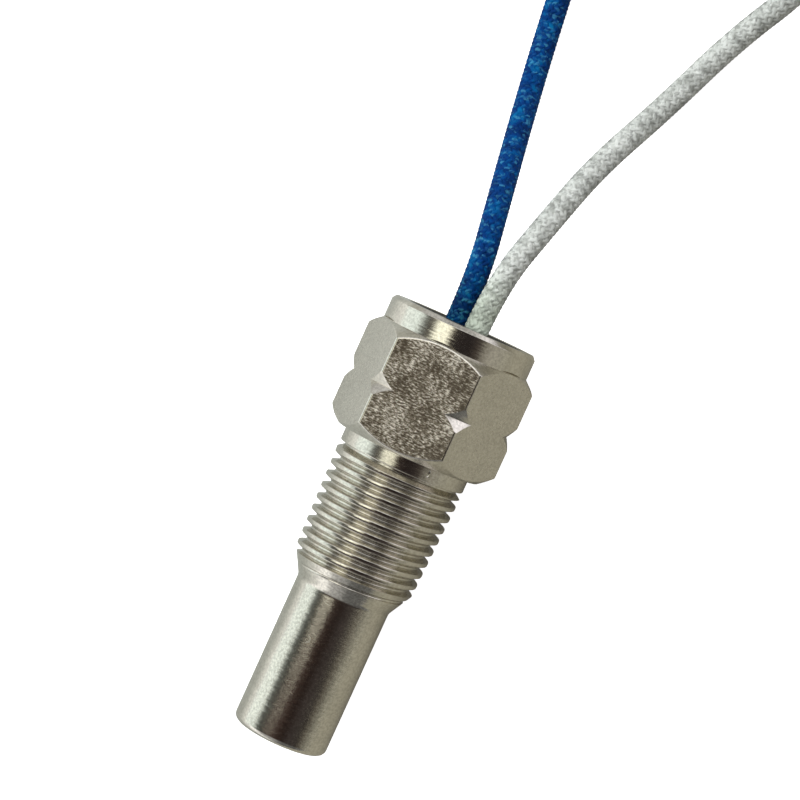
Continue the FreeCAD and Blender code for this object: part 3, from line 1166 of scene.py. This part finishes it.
def turnedNickel():
    # plate over lathe work: fine rings, faint clouding, a grainier probe
    t = turned
    material, tree, shader = newMaterial("turnedNickel", Metallic=1.0)
    place = useGroup(tree, senderFrame)
    marks = useGroup(tree, latheRings, {"Lean": t["lean"]})
    grain = noise(place["Point"], t["grainPerMm"])
    specks = spread(noise(place["Point"], *t["specks"]), *t["speckFrom"])
    rubbed = rubMark(place)
    tone = blendColours(times(specks, t["speckShare"]), plateTone(tree), nickel["speck"])
    tone = blendColours(times(rubbed, rub["share"]), tone, nickel["speck"])
    rough = timesPlus(marks["Rings"], t["ringRough"], t["rough"])
    rough = timesPlus(rubbed, t["rubRough"], rough)
    rough = timesPlus(grain, t["grainRough"], rough)
    onProbe = spread(place["Axial"], *t["probeTop"], 1.0, 0.0)
    height = timesPlus(grain, timesPlus(onProbe, t["probeGrain"], t["grain"]), marks["Rings"])
    feed(shader, tone, rough, bump(height, *t["bump"], marks["Normal"]))
    return material


def flatStreaks(place, rates, detail, rough):
    # short marks across the axis
    stretched = joined(times(place["Axial"], rates[0]), times(place["Turn"], flatArc * rates[1]))
    return noise(stretched, detail=detail, rough=rough)


def smoothFlat():
    # plate over a drawn flat: faint streaks
    material, tree, shader = newMaterial("smoothFlat", Metallic=1.0)
    streaks = flatStreaks(useGroup(tree, senderFrame), *smooth["streaks"])
    tone = blendColours(spread(streaks, *smooth["speckFrom"]), plateTone(tree), nickel["speck"])
    rough = timesPlus(streaks, *smooth["rough"])
    feed(shader, tone, rough, bump(streaks, *smooth["bump"]))
    return material


def pittedFlat():
    # plate over the bar's rough skin: a dark ground, partly the skin's own tone and partly painted shade in
    # its pits, with bright streaks that are partly scuffs and partly painted glints
    p = pitted
    material, tree, shader = newMaterial("pittedFlat", Metallic=1.0)
    place = useGroup(tree, senderFrame)
    scuffsAndPaintedGlints = work("ADD", flatStreaks(place, *p["streaks"]), p["level"])
    wearAndPaintedGlints = timesPlus(noise(place["Point"], p["cloudsPerMm"]), p["cloudShare"], scuffsAndPaintedGlints)
    rough = timesPlus(wearAndPaintedGlints, *p["rough"])
    feed(shader, ramp(wearAndPaintedGlints, p["skinShadeAndGlints"]), rough, bump(wearAndPaintedGlints, *p["bump"]))
    return material


def dressBody(piece):
    # every second flat kept the bar's rough skin
    dress(piece, turnedNickel(), smoothFlat(), pittedFlat())
    reach = body["acrossFlats"] / 2 * mm
    back = senderPlace.inverted()
    for face in piece.data.polygons:
        normal = back.to_3x3() @ face.normal
        flats = (degrees(atan2(normal.y, normal.x)) % 360 - flatAngles[0]) / flatStep
        nearest = round(flats)
        square = abs(normal.z) < flatTest["tilt"] and abs(flats - nearest) * flatStep < flatTest["turn"]
        onFlat = square and abs((back @ face.center).dot(normal) - reach) < flatTest["gap"] * mm
        face.material_index = (1 if nearest % 2 else 2) if onFlat else 0


dressBody(senderBody)


# leads, resin, tie and what is inside

yarn = dict(  # lengths are mm
    strandShift=37.0,  # sets each strand's noise apart
    filaments=(0.8, 22.0),  # for each mm of strand, and over its width
    filamentRough=0.6,
    patchesPerMm=1.1,
    cloudsPerMm=0.55,
    shares=(0.5, 0.3, 0.2),  # of patches, filaments and clouds
    stops=(0.34, 0.52, 0.74),  # for the deep, plain and bright colour
    speckAndGlintShare=0.6,
    paintedGlintPerMm=1.5,
    paintedGlintShift=5.0,
    soiled=(4.0, 13.0, 0.8, 0.0),  # from and to, with the shares there
    wanderPerMm=0.9,
    wander=5.0,
    edge=(0.45, 0.95, 0.0, 0.8),  # painted shade on the edges, the same by how far a face turns away
    rough=(0.2, 0.36),
    bump=(0.4, 0.04),
)
yarns = dict(
    # edge is the colour of the painted shade on a lead's edges
    blue=dict(
        deep=(0.0, 0.018, 0.10), plain=(0.0, 0.041, 0.20), bright=(0.0, 0.16, 0.39),
        speckAndGlint=(0.06, 0.29, 0.48), stain=(0.45, 0.62, 0.50), edge=(0.5, 0.58, 0.62), gloss=0.06,
        speckAndGlintPerMm=1.9, speckAndGlintFrom=(0.0, 0.75), paintedGlintFrom=(0.5, 0.66),  # painted glints: pale flecks only where a strand's painted glint noise is high
    ),
    white=dict(
        deep=(0.30, 0.315, 0.295), plain=(0.63, 0.66, 0.635), bright=(0.80, 0.83, 0.805),
        speckAndGlint=(0.28, 0.29, 0.28), stain=(0.84, 0.92, 0.79), edge=(0.45, 0.45, 0.45), gloss=0.1,
        speckAndGlintPerMm=1.9, speckAndGlintFrom=(0.68, 0.92),
    ),
)
stuffs = dict(  # low and high colour, low and high roughness
    # the cores' dark colours are painted shade in the gaps between the braid's strands
    blueShadedCore=dict(low=(0.0, 0.014, 0.075), high=(0.0, 0.03, 0.13), rough=(0.6, 0.8)),
    whiteShadedCore=dict(low=(0.20, 0.20, 0.17), high=(0.32, 0.32, 0.28), rough=(0.6, 0.8)),
    pottingResin=dict(low=(0.006, 0.006, 0.007), high=(0.018, 0.017, 0.016), rough=(0.28, 0.5),
                      mottle=(0.8, 4.0)),
    tinnedWire=dict(low=(0.60, 0.60, 0.58), high=(0.78, 0.78, 0.76), rough=(0.22, 0.42), mottle=(1.2, 6.0),
                    Metallic=1.0),
    tieNylon=dict(low=(0.70, 0.69, 0.64), high=(0.80, 0.79, 0.75), rough=(0.32, 0.5), mottle=(0.4, 3.0),
                  Subsurface_Weight=0.15),
    shrunkSleeve=dict(low=(0.035, 0.035, 0.035), high=(0.08, 0.08, 0.078), rough=(0.45, 0.65)),
    glassSleeve=dict(low=(0.66, 0.58, 0.40), high=(0.82, 0.76, 0.60), rough=(0.6, 0.85), mottle=(0.9, 7.0),
                     depth=0.05),
    crimpBrass=dict(low=(0.62, 0.46, 0.20), high=(0.80, 0.64, 0.36), rough=(0.25, 0.42), Metallic=1.0),
    discCoating=dict(low=(0.07, 0.17, 0.12), high=(0.12, 0.25, 0.18), rough=(0.18, 0.3)),
    tipFiller=dict(low=(0.66, 0.66, 0.63), high=(0.82, 0.82, 0.80), rough=(0.7, 0.9), mottle=(0.7, 5.0),
                   depth=0.05),
)
innerStuffs = dict(  # by the start of a node's name
    lead_root_blue="blueShadedCore",
    lead_root_white="whiteShadedCore",
    lead_core="tinnedWire",
    element_leg="tinnedWire",
    leg_sleeve="glassSleeve",
    splice_blue="crimpBrass",
    splice_white="crimpBrass",
    splice_sleeve="shrunkSleeve",
    sensing_disc="discCoating",
    tip_compound="tipFiller",
)


def braidMaterial(name, look):
    # varnished yarn: fine filaments along each strand, soiled near the mouth, with painted glints on the
    # blue and painted shade on the edges
    y = yarn
    material, tree, shader = newMaterial(name, Specular_IOR_Level=look["gloss"])
    uv = put(tree, "UVMap", uv_map="strand").outputs[0]
    gone, wide = put(tree, "SeparateXYZ", {0: uv}).outputs[:2]
    tone = put(tree, "Attribute", attribute_name="tone").outputs["Fac"]
    shift = times(tone, y["strandShift"])
    fine = joined(times(gone, y["filaments"][0]), times(wide, y["filaments"][1]), shift)
    filaments = noise(fine, rough=y["filamentRough"])
    patches = noise(joined(times(gone, y["patchesPerMm"]), shift))
    clouds, grain = mottled(tree, y["cloudsPerMm"], look["speckAndGlintPerMm"])
    shade = timesPlus(patches, y["shares"][0], times(filaments, y["shares"][1]))
    shade = timesPlus(clouds, y["shares"][2], shade)
    colour = ramp(shade, list(zip(y["stops"], (look["deep"], look["plain"], look["bright"]))))
    specksAndGlints = spread(grain, *look["speckAndGlintFrom"], 0.0, y["speckAndGlintShare"])
    # on the blue the pale flecks are painted glints, kept to where the painted glint noise along a strand
    # is high; on the white they are dark specks
    if "paintedGlintFrom" in look:
        other = work("ADD", shift, y["paintedGlintShift"])
        paintedGlint = noise(joined(times(gone, y["paintedGlintPerMm"]), 0.0, other), detail=1.0)
        specksAndGlints = times(specksAndGlints, spread(paintedGlint, *look["paintedGlintFrom"]))
    colour = blendColours(specksAndGlints, colour, (*look["speckAndGlint"], 1))
    wander = noise(joined(times(gone, y["wanderPerMm"]), shift))
    soiled = spread(timesPlus(wander, y["wander"], gone), *y["soiled"])
    colour = blendColours(soiled, colour, (*look["stain"], 1), "MULTIPLY")
    # painted shade: the colour darkens towards the edges, where faces turn away from the view
    facing = put(tree, "LayerWeight", {"Blend": 0.5}).outputs["Facing"]
    colour = blendColours(spread(facing, *y["edge"]), colour, (*look["edge"], 1), "MULTIPLY")
    feed(shader, colour, timesPlus(filaments, *y["rough"]), bump(filaments, *y["bump"]))
    return material


def mottledFinish(name, low, high, rough, mottle=(0.5, 5.0), strength=0.4, depth=0.02, **values):
    # plain stuff with its own unevenness: colour, gloss and skin
    material, tree, shader = newMaterial(name, **values)
    clouds, grain = mottled(tree, *mottle)
    colour = blendColours(clouds, (*low, 1), (*high, 1))
    feed(shader, colour, spread(grain, 0.0, 1.0, *rough), bump(grain, strength, depth))
    return material


finishes = {name: mottledFinish(name, **look) for name, look in stuffs.items()}
for nodeName, node in nodes.items():
    for start, stuff in innerStuffs.items():
        if nodeName.startswith(start):
            dress(node, finishes[stuff])
for colour, piece in braids.items():
    dress(piece, braidMaterial(colour + "Yarn", yarns[colour]), finishes[colour + "ShadedCore"])
    dress(bareEnds[colour], finishes["tinnedWire"])
dress(coilTie, finishes["tieNylon"])
dress(resinPlug, finishes["pottingResin"])
print("finishes set")


# floor and light

floorLook = dict(
    size=3.0,  # metres
    rough=0.9,
    seen=(0.93, 0.93, 0.925, 1),
    glow=0.9,  # so that shadows stay pale
    # painted shadow and light, seen by all but camera rays: darker beside and right of the sender where its
    # shadow falls, lighter far to the left where the key lights the floor
    paintedShadeAndLight=[(-0.10, (0.92, 0.93, 0.92)), (-0.045, (0.80, 0.82, 0.80)), (-0.024, (0.555, 0.575, 0.55)),
              (-0.010, (0.48, 0.50, 0.475)), (0.010, (0.455, 0.435, 0.355)), (0.10, (0.455, 0.435, 0.355))],
    span=0.2,  # metres that the list above is laid over
    far=(0.045, 0.09),  # metres over which painted shade darkens it beyond the wire end
    farShade=(0.55, 0.54, 0.50, 1),
)
studio = dict(
    swing=7.7,  # degrees that the lights are turned round the sender's axis
    # light by degrees round the axis from above, left is less than 0; each list takes over from the one
    # before where a ray's share along the axis passes its range
    side=[
        (-180, (0.44, 0.46, 0.44)), (-150, (0.46, 0.49, 0.47)), (-128, (0.50, 0.54, 0.52)),
        (-112, (0.75, 0.82, 0.78)), (-104, (1.00, 1.09, 1.05)), (-96, (1.20, 1.31, 1.29)),
        (-72, (1.22, 1.36, 1.34)), (-65, (1.04, 1.14, 1.11)), (-58, (0.25, 0.27, 0.25)),
        (-50, (0.10, 0.09, 0.08)), (-43, (0.18, 0.17, 0.14)), (-35, (1.80, 1.80, 1.54)),
        (-17, (1.75, 1.73, 1.46)), (-11, (0.09, 0.07, 0.05)), (-6, (0.02, 0.015, 0.015)),
        (20, (0.02, 0.015, 0.015)), (33, (0.07, 0.055, 0.045)), (42, (0.34, 0.32, 0.275)),
        (57, (0.50, 0.48, 0.415)), (70, (0.42, 0.405, 0.345)), (82, (0.50, 0.485, 0.40)),
        (138, (0.56, 0.54, 0.45)), (180, (0.44, 0.46, 0.44)),
    ],
    sideFrom=(-0.13, -0.10),
    low=[
        (-180, (0.44, 0.46, 0.44)), (-128, (0.54, 0.58, 0.56)), (-104, (1.08, 1.18, 1.14)),
        (-96, (1.26, 1.36, 1.33)), (-72, (1.18, 1.28, 1.24)), (-65, (0.92, 0.99, 0.95)),
        (-57, (0.11, 0.12, 0.11)), (-45, (0.07, 0.07, 0.062)), (-33, (0.05, 0.022, 0.02)),
        (-12, (0.045, 0.018, 0.016)), (-4, (0.045, 0.026, 0.02)), (8, (0.022, 0.011, 0.008)),
        (22, (0.055, 0.043, 0.041)), (38, (0.05, 0.042, 0.04)), (45, (0.025, 0.018, 0.016)),
        (56, (0.14, 0.125, 0.10)), (64, (0.22, 0.21, 0.175)), (82, (0.50, 0.485, 0.40)),
        (138, (0.60, 0.58, 0.48)), (180, (0.44, 0.46, 0.44)),
    ],
    lowFrom=(-0.55, -0.30),
    tipEnd=[(-180, 0.55), (-122, 0.5), (-106, 1.05), (-90, 1.3), (-68, 1.55), (-50, 0.62), (-30, 0.5),
            (-10, 0.42), (10, 0.17), (44, 0.15), (66, 0.16), (80, 0.3), (180, 0.47)],
    leadSide=[(-180, 0.5), (-100, 0.6), (-60, 0.9), (-35, 1.4), (14, 1.4), (26, 0.5), (42, 0.6),
              (52, (1.42, 1.38, 1.48)), (72, (1.42, 1.38, 1.48)), (95, 0.45), (180, 0.45)],
    leadSideFrom=(0.20, 0.35),
    leadEnd=[(-180, 0.4), (-90, 0.35), (-30, 0.38), (20, 0.5), (60, 0.75), (100, 0.6), (180, 0.4)],
    leadEndFrom=(0.88, 0.97),
    backdrop=(0.95, 0.95, 0.945, 1),
    keyPower=2.2,
    keySize=0.6,
    keyPlace=(-0.40, 0.12, 0.45),  # metres
    keyAim=(0, 0.02, 0),
)


def makeFloor():
    startFresh()
    bpy.ops.mesh.primitive_plane_add(size=floorLook["size"], location=(0, 0, 0))
    floor = bpy.context.object
    floor.name = "floor"
    material, tree, shader = newMaterial("paleFloor", Roughness=floorLook["rough"])
    objectPoint = put(tree, "TexCoord").outputs["Object"]
    parts = put(tree, "SeparateXYZ", {0: objectPoint}).outputs
    # painted shadow and light across the floor, and painted shade beyond the wire end, for all rays but the
    # camera's
    share = timesPlus(parts["X"], 1 / floorLook["span"], 0.5)
    stops = [(x / floorLook["span"] + 0.5, colour) for x, colour in floorLook["paintedShadeAndLight"]]
    paintedShadeAndLight = ramp(share, stops)
    far = spread(parts["Y"], *floorLook["far"])
    paintedShadeAndLight = blendColours(far, paintedShadeAndLight, floorLook["farShade"], "MULTIPLY")
    seen = put(tree, "LightPath").outputs["Is Camera Ray"]
    glow = times(seen, floorLook["glow"])
    fillInputs(shader, {
        "Base Color": blendColours(seen, paintedShadeAndLight, floorLook["seen"]),
        "Emission Color": joined(glow, glow, glow),
        "Emission Strength": 1.0,
    })
    dress(floor, material)


def makeWorld():
    world = bpy.data.worlds.new("studio")
    scene.world = world
    world.use_nodes = True
    tree = world.node_tree
    direction = put(tree, "TexCoord").outputs["Generated"]

    def reach(way):
        return vectorWork("DOT_PRODUCT", direction, way)["Value"]

    def byAngle(stops):
        return ramp(share, [(angle / 360 + 0.5, light) for angle, light in stops])

    swing = radians(studio["swing"])
    over = reach(upFlat * cos(swing) + across * sin(swing))
    right = reach(across * cos(swing) - upFlat * sin(swing))
    ahead = reach(along)
    share = timesPlus(work("ARCTAN2", right, over), 0.5 / pi, 0.5)
    light = byAngle(studio["tipEnd"])
    for name in ("low", "side", "leadSide", "leadEnd"):  # from behind the tip to the wire end
        past = spread(ahead, *studio[name + "From"])
        light = blendColours(past, light, byAngle(studio[name]))
    seen = put(tree, "LightPath").outputs["Is Camera Ray"]
    fillInputs(tree.nodes["Background"], {"Color": blendColours(seen, light, studio["backdrop"])})


def makeKey():
    data = bpy.data.lights.new("key", "AREA")
    data.shape = "DISK"
    data.size = studio["keySize"]
    data.energy = studio["keyPower"]
    key = addObject("key", data)
    key.location = studio["keyPlace"]
    key.rotation_euler = (Vector(studio["keyAim"]) - key.location).to_track_quat("-Z", "Y").to_euler()
    key.visible_glossy = False


makeFloor()
makeWorld()
makeKey()
scene.view_settings.view_transform = "Standard"
print("light set")
